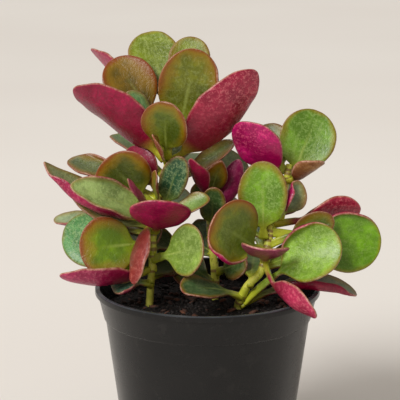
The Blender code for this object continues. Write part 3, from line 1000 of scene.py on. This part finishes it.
def soil_height(x, y, edge_radius, low, high):
    """The soil's surface: a low mound with lumps and crumbs."""
    r = math.hypot(x, y) / edge_radius
    mound = low + (high - low) * (1 - r * r)
    lumps = 1.1 * noise.noise(Vector((x, y, 0)) / (9 * MM))
    crumbs = 0.55 * noise.noise(Vector((x, y, 5)) / (3 * MM))
    fine_crumbs = 0.3 * noise.noise(Vector((x, y, 9)) / (1.3 * MM))
    return mound + (lumps + (crumbs + fine_crumbs)) * MM


def soil_edge():
    """The radius and height of the soil's top edge, from its solid."""
    places, _, _ = merged("soil")
    radii = np.hypot(places[:, 0], places[:, 1])
    top_layer = 6 * MM
    upper = places[:, 2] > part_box("soil")[1].z - top_layer
    edge = radii[upper].max()
    on_edge = upper & (radii > edge - 0.2 * MM)
    return float(edge), float(places[on_edge][:, 2].max())


def on_circle(radius, sides):
    """Places evenly spaced round a circle."""
    turns = [math.tau * j / sides for j in range(sides)]
    return [(radius * math.cos(turn), radius * math.sin(turn)) for turn in turns]


def make_soil():
    """The soil as one closed body: a rough top, a short upright side, and a taper down to the pot's floor."""
    side_height = 5 * MM
    floor_gap = 0.4 * MM
    low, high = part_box("soil")
    edge, edge_height = soil_edge()
    points = [(0.0, 0.0, soil_height(0, 0, edge, edge_height, high.z))]
    for i in range(1, SOIL_RINGS + 1):
        for x, y in on_circle(edge * i / SOIL_RINGS, SOIL_SIDES):
            points.append((x, y, soil_height(x, y, edge, edge_height, high.z)))
    floor_radius = pot_section()[0][0] - floor_gap
    for radius, height in ((edge, edge_height - side_height), (floor_radius, low.z)):
        points += [(x, y, height) for x, y in on_circle(radius, SOIL_SIDES)]
    faces = [(0, 1 + j, 1 + (j + 1) % SOIL_SIDES) for j in range(SOIL_SIDES)]
    for i in range(SOIL_RINGS + 1):
        a, b = 1 + i * SOIL_SIDES, 1 + (i + 1) * SOIL_SIDES
        for j in range(SOIL_SIDES):
            k = (j + 1) % SOIL_SIDES
            faces.append((a + j, b + j, b + k, a + k))
    last = 1 + (SOIL_RINGS + 1) * SOIL_SIDES
    faces.append(tuple(range(last, last + SOIL_SIDES))[::-1])
    mesh = bpy.data.meshes.new("soil_bed")
    mesh.from_pydata(points, [], faces)
    new_piece("soil_bed", mesh, MATERIALS["soil"], "soil", "soil")


def make_chips(name, material, count, sizes, flatness, seed):
    """Bits that lie on the soil, each a small lumpy piece turned its own way, all joined in one piece.

    Their sizes are in millimetres, and their flatness is their height as a share of their size.
    """
    lumpiness = 0.45
    lift = 0.12
    rng = random.Random(seed)
    edge, edge_height = soil_edge()
    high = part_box("soil")[1].z
    body = bmesh.new()
    tone = body.verts.layers.float.new("tone")
    for _ in range(count):
        size = rng.uniform(*sizes) * MM
        radius = (edge - size) * math.sqrt(rng.random())
        turn = rng.uniform(0, math.tau)
        x, y = radius * math.cos(turn), radius * math.sin(turn)
        middle = Vector((x, y, soil_height(x, y, edge, edge_height, high) + lift * size))
        made = bmesh.ops.create_icosphere(body, subdivisions=1, radius=0.5 * size)["verts"]
        spin = Euler((rng.uniform(-0.5, 0.5), rng.uniform(-0.5, 0.5), rng.uniform(0, math.tau))).to_matrix()
        shape = Vector((rng.uniform(0.9, 1.6), rng.uniform(0.5, 0.9), rng.uniform(*flatness)))
        offset = Vector((rng.uniform(0, 99), 0, 0))
        value = rng.random()
        for vertex in made:
            place = Vector(a * b for a, b in zip(vertex.co, shape))
            place *= 1 + lumpiness * noise.noise(vertex.co / (0.5 * size) * 0.9 + offset)
            vertex.co = spin @ place + middle
            vertex[tone] = value
    mesh = bpy.data.meshes.new(name)
    body.to_mesh(mesh)
    body.free()
    return new_piece(name, mesh, material, "soil")


# ---------------------------------------------------------------- stage


def add_light(name, kind, place, target, strength, colour):
    """A light of the given kind that shines from a place to a target."""
    light = bpy.data.lights.new(name, kind)
    light.energy = strength
    light.color = colour
    obj = bpy.data.objects.new(name, light)
    obj.location = place
    obj.rotation_euler = (Vector(target) - obj.location).to_track_quat("-Z", "Y").to_euler()
    bpy.context.scene.collection.objects.link(obj)
    return light


def make_lights():
    """Even light all round, a broad key light from the front left, and a round light above and behind."""
    key = add_light("key", "SUN", (-0.62, -0.78, 0.80), (0, 0, 0), 2.75, (1.0, 0.985, 0.97))
    key.angle = math.radians(24)
    top = add_light("top", "AREA", (-0.25, 0.55, 1.1), (0, 0, 0.15), 1.5, (1.0, 0.99, 0.97))
    top.shape = "DISK"
    top.size = 0.4
    world = bpy.data.worlds.new("studio")
    bpy.context.scene.world = world
    world.use_nodes = True
    colour, strength = world.node_tree.nodes["Background"].inputs[:2]
    colour.default_value = (*colour_of("f4ede4"), 1.0)
    strength.default_value = 0.42


def make_floor():
    """A wide floor just below the pot's base."""
    reach = 9.0
    corners = [(-reach, -reach, 0), (reach, -reach, 0), (reach, reach, 0), (-reach, reach, 0)]
    mesh = bpy.data.meshes.new("floor")
    mesh.from_pydata(corners, [], [(0, 1, 2, 3)])
    mesh.materials.append(floor_material())
    floor = bpy.data.objects.new("floor", mesh)
    floor.location.z = -0.2 * MM
    bpy.context.scene.collection.objects.link(floor)


def make_camera():
    """A long lens in front of the plant, a little above its top, looking slightly down."""
    downward_tilt = 12.6
    camera = bpy.data.cameras.new("camera")
    camera.sensor_width = 36
    camera.lens = 151.3
    camera.clip_start = 0.01
    obj = bpy.data.objects.new("camera", camera)
    obj.location = (-0.004, -0.867, 0.3455)
    obj.rotation_euler = (math.radians(90 - downward_tilt), 0, 0)
    bpy.context.scene.collection.objects.link(obj)
    bpy.context.scene.camera = obj


MATERIALS = {
    "leaf": leaf_material(),
    "stem": stem_material(),
    "pot": pot_material(),
    "soil": soil_material(),
    "bark": chip_material("bark_chip", "1f110b", "663a24"),
    "peat": chip_material("peat_crumb", "080605", "2a1d16"),
}

bpy.context.scene.view_settings.view_transform = "Standard"
make_camera()
make_floor()
make_lights()
make_pot()
make_soil()
make_chips("peat_crumbs", MATERIALS["peat"], count=1500, sizes=(0.8, 2.2), flatness=(0.5, 0.9), seed=5)
make_chips("bark_chips", MATERIALS["bark"], count=110, sizes=(2.5, 5.5), flatness=(0.25, 0.5), seed=6)
feet = leaf_feet()
for seed, stem in enumerate((TALL, RIGHT, MIDDLE), STEM_SEED):
    make_stem(stem, feet, seed)
make_leaves()
